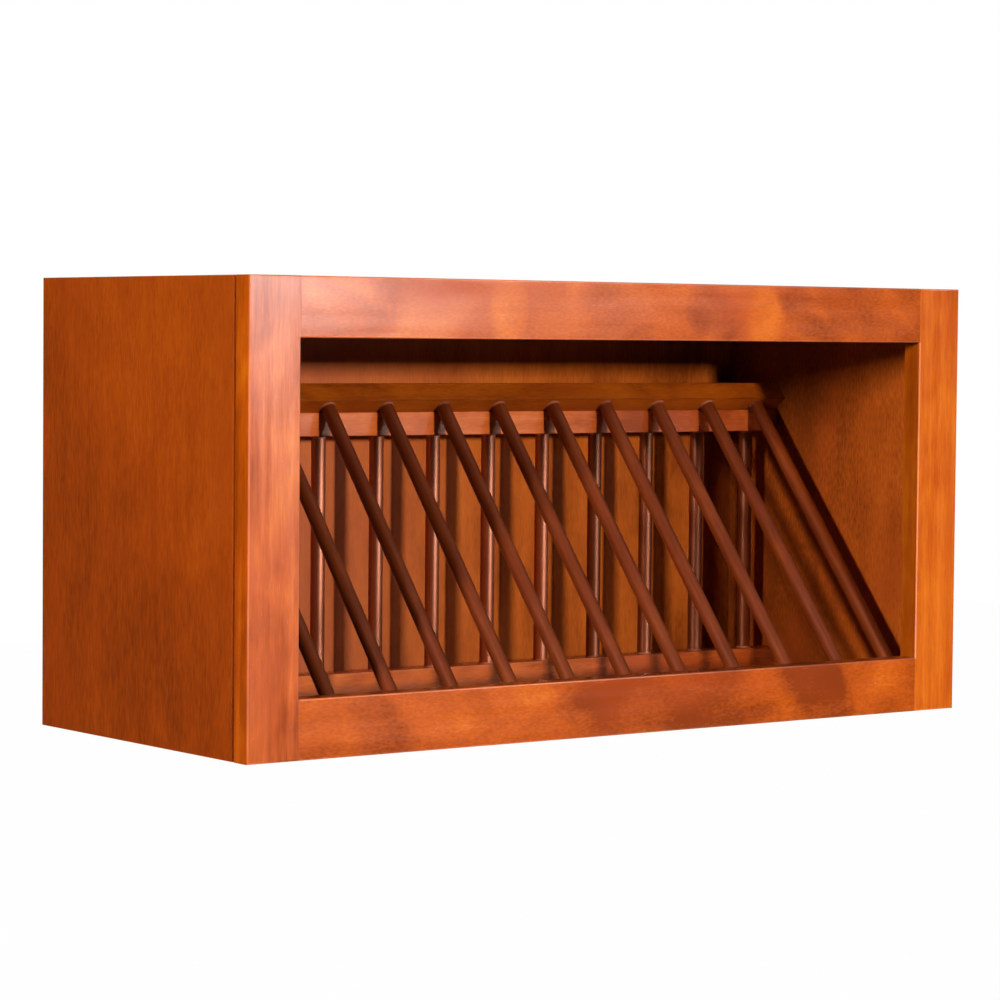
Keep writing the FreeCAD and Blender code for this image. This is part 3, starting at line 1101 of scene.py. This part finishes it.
@dataclass
class DowelRow:
    """A row of round dowels seated in a lower and an upper rail."""

    prefix: str
    seat: float = 10.0 * MM
    lean: float = 0.0
    fillet: float = 1.1 * MM
    bead_rise: float = 1.4
    bead_highlight: float = 0.8
    lap: float = 0.2 * MM
    chamfer: float = 0.8 * MM
    count: int = 12
    steps: int = 40

    def axis(self) -> Vector:
        """Direction of the dowels, from the lower rail to the upper one."""
        return Vector((0, math.sin(self.lean), math.cos(self.lean)))

    def measure(self, node: str) -> tuple[Vector, float, float]:
        """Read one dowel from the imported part.

        Args:
            node: The dowel's CAD node.

        Returns:
            The middle of its lower end, its length and its radius.
        """
        low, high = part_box(node)
        radius = (high.x - low.x) / 2
        length = (high.z - low.z - 2 * radius * math.sin(self.lean)) / math.cos(self.lean)
        middle = (low + high) / 2
        return middle - self.axis() * (length / 2), length, radius

    def seats(self) -> tuple[Vector, Vector]:
        """Find where the dowels leave their rails.

        Returns:
            The lower and the upper point, in the plane across the cabinet.
        """
        foot, length, _ = self.measure(f"{self.prefix}_01")
        low = foot + self.axis() * self.seat
        high = foot + self.axis() * (length - self.seat)
        return Vector((0, low.y, low.z)), Vector((0, high.y, high.z))

    def build(self, finishes: Sequence[bpy.types.Material]) -> None:
        """Turn every dowel, with a bead of lacquer where it enters each rail.

        Args:
            finishes: The finishes of equal runs of dowels, from left to right.
        """
        run = self.count // len(finishes)
        for number in range(1, self.count + 1):
            finish = finishes[(number - 1) // run]
            node = f"{self.prefix}_{number:02d}"
            foot, length, radius = self.measure(node)
            profile = self._profile(length, radius)
            piece = Workpiece(f"{node}_rod").turned(profile, foot, self.axis(), self.steps)
            self._paint_bead_highlights(piece, foot, length)
            piece.fitted(finish, "rack_wood", [node])

    def _profile(self, length: float, radius: float) -> list[tuple[float, float]]:
        """Profile of a rod with chamfered ends and a hollow bead at each rail.

        Args:
            length: Length of the rod.
            radius: Radius of the rod.

        Returns:
            Radius and distance along the axis of each point.
        """
        bead = [
            (radius + self.fillet * (1 - math.sin(turn)), self.fillet * self.bead_rise * (1 - math.cos(turn)))
            for turn in (0.0, math.pi / 8, math.pi / 4, 3 * math.pi / 8, math.pi / 2)
        ]
        half = [(0.0, 0.0), (radius - self.chamfer, 0.0), (radius, self.chamfer)]
        half.append((radius, self.seat - self.lap))
        half += [(reach, self.seat + along) for reach, along in bead]
        half.append((radius, length * 0.25))
        other = [(reach, length - along) for reach, along in reversed(half)]
        return half + [(radius, length / 2)] + other

    def _paint_bead_highlights(self, piece: Workpiece, foot: Vector, length: float) -> None:
        """Mark the beads so that the finish shows them pale, a painted highlight on the lacquer bead.

        Args:
            piece: The rod.
            foot: Middle of the rod's lower end.
            length: Length of the rod.
        """
        for face in piece.bm.faces:
            along = (face.calc_center_median() - foot).dot(self.axis())
            inner = min(along, length - along)
            if self.seat - self.lap / 2 < inner < self.seat + self.fillet * self.bead_rise:
                face[piece.arris] = self.bead_highlight


@dataclass
class LeaningRack:
    """Rack that leans back from the floor behind the frame to the top of the rear rack."""

    head_rail: str = "leaning_rack_head_rail"
    foot_rail: str = "leaning_rack_foot_rail"
    lean: float = math.radians(39.0188)
    rail: float = 19.05 * MM
    rounding: float = 0.8 * MM

    def build(self) -> None:
        """Make the head and foot rails and the dowels between them."""
        row = DowelRow("leaning_dowel", lean=self.lean)
        low, high = row.seats()
        axis = row.axis()
        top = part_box("rear_rack_top_rail")[1].z
        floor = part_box("bottom_panel")[1].z
        frame_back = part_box("left_stile")[1].y
        down, forward = Vector((0, 0, -1)), Vector((0, -1, 0))
        head = self._rail(self.head_rail, high, axis).planed(Vector((0, 0, top)), down)
        foot = self._rail(self.foot_rail, low, -axis).planed(Vector((0, 0, floor)), down)
        foot.planed(Vector((0, frame_back, 0)), forward)
        rails = {self.head_rail: head, self.foot_rail: foot}
        for index, (node, piece) in enumerate(rails.items()):
            finish = StainedWood(
                name=f"{node}_stain", grain=Grain.LEVEL, seed=23.0 + 1.9 * index, clouds=0.8, figure=0.3,
                streaks=0.4, fibre=0.008, rub_and_painted_light=0.9, roughness=0.36, specular=0.12, **RACK_WOOD,
            )
            piece.fitted(finish.material(), "rack_wood", [node])
        dowel = StainedWood(
            name="leaning_dowel_stain", grain=Grain.LEANING, lean=self.lean, seed=29.0, clouds=0.6, figure=0.0,
            streaks=0.55, pores=0.35, rub_and_painted_light=0.7, relief=0.02, roughness=0.44, specular=0.5, gloss_tint=WARM_GLOSS,
            **LEANING_WOOD,
        )
        row.build([dowel.material()])

    def _rail(self, node: str, seat: Vector, direction: Vector) -> Workpiece:
        """Start a square rail on one side of the point where the dowels enter it.

        Args:
            node: The CAD node.
            seat: Point where the dowels enter, in the plane across the cabinet.
            direction: Way from the seat into the rail.

        Returns:
            The rail with its long edges rounded.
        """
        low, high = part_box(node)
        across = Vector((0, direction.z, -direction.y)) * (self.rail / 2)
        depth = direction * self.rail
        start = Vector((low.x, seat.y, seat.z))
        corners = [start - across, start + across, start + across + depth, start - across + depth]
        piece = Workpiece(f"{node}_bar").bar(corners, Vector((high.x - low.x, 0, 0)))
        return piece.ease(piece.edges_along(Axis.X, {}), self.rounding, 3)


@dataclass
class RearRack:
    """Upright rack in front of the back sheet."""

    rounding: float = 0.8 * MM

    def build(self) -> None:
        """Make the top and bottom rails and the dowels between them."""
        for index, node in enumerate(("rear_rack_top_rail", "rear_rack_bottom_rail")):
            low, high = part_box(node)
            piece = Workpiece(f"{node}_bar").board(low, high)
            piece.ease(piece.edges_along(Axis.X, {}), self.rounding, 3)
            finish = StainedWood(
                name=f"{node}_stain", grain=Grain.LEVEL, seed=33.0 + 2.1 * index, clouds=0.8, figure=0.3,
                streaks=0.4, fibre=0.01, rub_and_painted_light=0.1, roughness=0.26, specular=0.33, gloss_tint=tone(255, 222, 208),
                # Painted shade: the rails darken towards the right-hand end.
                tone_patches=(TonePatch((0.3, 0.08, 0.15), (0.2, 1.0, 1.0), -0.5, fray=0.2),), **REAR_RAIL_WOOD,
            )
            piece.fitted(finish.material(), "rack_wood", [node])
        dowel = StainedWood(
            name="rear_dowel_stain", grain=Grain.UPRIGHT, seed=37.0, clouds=0.5, figure=0.0, streaks=0.5,
            pores=0.3, rub_and_painted_light=0.7, relief=0.004, roughness=0.42, specular=1.0, ior=1.8, gloss_tint=tone(255, 163, 126),
            # Painted shade: the dowels darken towards the right-hand end.
            tone_patches=(TonePatch((0.34, 0.08, 0.15), (0.13, 1.0, 1.0), -0.4, fray=0.2),), **UPRIGHT_WOOD,
        )
        middle = replace(dowel, name="rear_dowel_middle_stain", specular=0.8)
        # Painted shade: the right-hand run of dowels takes the darker leaning-dowel tones.
        end = replace(dowel, name="rear_dowel_painted_shade", specular=0.42, **LEANING_WOOD)
        DowelRow("rear_dowel").build([dowel.material(), middle.material(), end.material()])


@dataclass
class HiddenPins:
    """Pins inside the joints, which stay as packed."""

    nodes: tuple[str, str] = ("frame_corner_pins", "rack_rail_pins")

    def build(self) -> None:
        """Dress the pins as bare beech."""
        beech = stain((176, 130, 86), (206, 162, 116), (226, 188, 144), (200, 150, 104), (226, 188, 144))
        finish = StainedWood(
            name="bare_beech", grain=Grain.LEVEL, roughness=0.55, specular=0.3, seed=41.0, **beech
        ).material()
        for node in self.nodes:
            dress_node(node, finish)


class LampUse(Enum):
    """What a lamp gives: all its light, only the soft light or only the reflection."""

    ALL = "all"
    MATT = "matt"
    GLOSS = "gloss"


@dataclass(frozen=True)
class Lamp:
    """A square or oblong studio lamp."""

    name: str
    place: tuple[float, float, float]
    aim: tuple[float, float, float]
    power: float
    width: float
    height: float
    use: LampUse = LampUse.ALL

    def build(self) -> None:
        """Hang the lamp and point it."""
        light = bpy.data.lights.new(self.name, "AREA")
        light.shape = "RECTANGLE"
        light.size = self.width
        light.size_y = self.height
        light.energy = self.power
        made = bpy.data.objects.new(self.name, light)
        made.visible_diffuse = self.use is not LampUse.GLOSS
        made.visible_glossy = self.use is not LampUse.MATT
        made.location = self.place
        made.rotation_euler = (Vector(self.aim) - Vector(self.place)).to_track_quat("-Z", "Y").to_euler()
        bpy.context.scene.collection.objects.link(made)


@dataclass
class Studio:
    """White room: the camera, the lamps, the pale floor far below and the light from all round."""

    eye: tuple[float, float, float] = (-1.7983, -2.373725, 0.3352)
    yaw: float = 0.6441
    pitch: float = -0.0484
    roll: float = 0.0092
    focal_px: float = 3387.06
    image_px: float = 1000.0
    sensor: float = 36.0
    floor_level: float = -1.372
    floor_half: float = 14.0
    ambient: float = 0.005
    sweep: tuple[float, float, float] = (0.6, 0.8, 0.0)
    sweep_rim: tuple[float, float] = (0.62, 0.88)
    floor_white: float = 0.99
    # Matt lamps light the wood, and gloss lamps only show in the lacquer.
    lamps: tuple[Lamp, ...] = (
        Lamp("front_key", (-0.32, -16.0, 1.87), (0.0, 0.0, 0.2), 1870.0, 0.85, 0.85, LampUse.MATT),
        Lamp("side_key", (2.62, -15.8, 1.87), (0.0, 0.0, 0.2), 250.0, 0.85, 0.85, LampUse.MATT),
        Lamp("left_key", (-9.13, -4.06, 1.75), (0.1, 0.0, 0.2), 1030.0, 0.7, 1.6),
        Lamp("overhead", (0.25, -2.15, 1.95), (0.0, -0.1, 0.15), 4.0, 1.5, 0.8),
        Lamp("gloss_panel", (1.4, -3.4, 0.85), (-0.3, -0.1, 0.3), 105.0, 0.4, 0.3, LampUse.GLOSS),
        Lamp("high_gloss", (0.88, -3.24, 1.25), (-0.1, -0.1, 0.25), 275.0, 1.1, 0.3, LampUse.GLOSS),
        Lamp("low_gloss", (0.93, -6.0, -0.8), (0.0, 0.1, 0.15), 60.0, 2.2, 0.8, LampUse.GLOSS),
        Lamp("left_gloss", (-1.46, -0.69, 2.08), (0.1, -0.1, 0.08), 17.0, 0.9, 0.6, LampUse.GLOSS),
        Lamp("rear_fill", (0.9, 3.7, 1.5), (0.0, 0.1, 0.2), 150.0, 2.2, 1.6),
        Lamp("right_fill", (6.5, 0.9, 1.6), (0.3, 0.1, 0.2), 360.0, 1.6, 1.6, LampUse.MATT),
        Lamp("under_fill", (0.0, 0.04, -1.25), (0.0, 0.04, 0.0), 9.0, 0.5, 0.2, LampUse.MATT),
    )

    def build(self) -> None:
        """Set up everything round the cabinet."""
        self._camera()
        for lamp in self.lamps:
            lamp.build()
        self._floor()
        self._world()
        bpy.context.scene.view_settings.view_transform = "Standard"

    def _camera(self) -> None:
        """Stand the camera where the photograph was taken."""
        data = bpy.data.cameras.new("photo_camera")
        data.sensor_width = self.sensor
        data.lens = self.focal_px / self.image_px * self.sensor
        data.clip_end = 100.0
        forward = Vector((
            math.sin(self.yaw) * math.cos(self.pitch),
            math.cos(self.yaw) * math.cos(self.pitch),
            math.sin(self.pitch),
        ))
        right = Vector((math.cos(self.yaw), -math.sin(self.yaw), 0))
        up = right.cross(forward)
        side = right * math.cos(self.roll) + up * math.sin(self.roll)
        top = up * math.cos(self.roll) - right * math.sin(self.roll)
        made = bpy.data.objects.new("photo_camera", data)
        made.matrix_world = Matrix.Translation(self.eye) @ Matrix((side, top, -forward)).transposed().to_4x4()
        bpy.context.scene.collection.objects.link(made)
        bpy.context.scene.camera = made

    def _white(self, g: Graph, heading: bpy.types.NodeSocket) -> Val:
        """How white the room is to a ray: fully when seen straight, and in a mirror where the sweep hangs.

        Args:
            g: The graph to add to.
            heading: Direction from the cabinet.

        Returns:
            A value from 0 to 1.
        """
        path = g.node("ShaderNodeLightPath").outputs
        mirrored = Val(g, path["Is Glossy Ray"]).top(Val(g, path["Is Transmission Ray"]))
        facing = g.node("ShaderNodeVectorMath", {"operation": "DOT_PRODUCT"}, {0: heading, 1: self.sweep})
        behind = Val(g, facing.outputs["Value"]).between(*self.sweep_rim)
        return Val(g, path["Is Camera Ray"]).top(mirrored * behind)

    def _floor(self) -> None:
        """Lay the pale floor, as far below as such a cabinet hangs."""
        made, g = new_material("pale_floor")
        speck = g.noise(g.coords(), (0.02, 0.02, 0.02), 2.0)
        color = g.blend(speck.between(0.3, 0.7), tone(116, 116, 116), tone(124, 124, 124))
        matt = g.node("ShaderNodeBsdfDiffuse", None, {"Color": color})
        glow = g.node("ShaderNodeEmission", None, {"Color": (1, 1, 1, 1), "Strength": 1.0})
        heading = g.node("ShaderNodeVectorMath", {"operation": "NORMALIZE"}, {0: g.coords()}).outputs[0]
        share = self._white(g, heading) * self.floor_white
        mixed = g.node("ShaderNodeMixShader", None, {0: share, 1: matt.outputs[0], 2: glow.outputs[0]})
        g.output("ShaderNodeOutputMaterial", mixed.outputs[0])
        bm = bmesh.new()
        bmesh.ops.create_grid(bm, x_segments=1, y_segments=1, size=self.floor_half)
        bmesh.ops.translate(bm, vec=(0, 0, self.floor_level), verts=bm.verts[:])
        mesh = bpy.data.meshes.new("floor")
        bm.to_mesh(mesh)
        bm.free()
        mesh.materials.append(made)
        plane = bpy.data.objects.new("floor", mesh)
        bpy.context.scene.collection.objects.link(plane)

    def _world(self) -> None:
        """White to look at, dim as a light."""
        world = bpy.data.worlds.new("white_room")
        world.use_nodes = True
        bpy.context.scene.world = world
        g = Graph(world.node_tree)
        heading = g.node("ShaderNodeTexCoord").outputs["Generated"]
        strength = self._white(g, heading) * (1.0 - self.ambient) + self.ambient
        sky = g.node("ShaderNodeBackground", None, {"Color": (1, 1, 1, 1), "Strength": strength})
        g.output("ShaderNodeOutputWorld", sky.outputs[0])


def main() -> None:
    """Build the cabinet and its studio."""
    logging.basicConfig(level=logging.INFO, format="%(name)s: %(message)s")
    for assembly in (FaceFrame(), BoxPanels(), HangingRails(), LeaningRack(), RearRack(), HiddenPins(), Studio()):
        assembly.build()
        LOG.info("%s done", type(assembly).__name__)


if __name__ == "__main__":
    main()
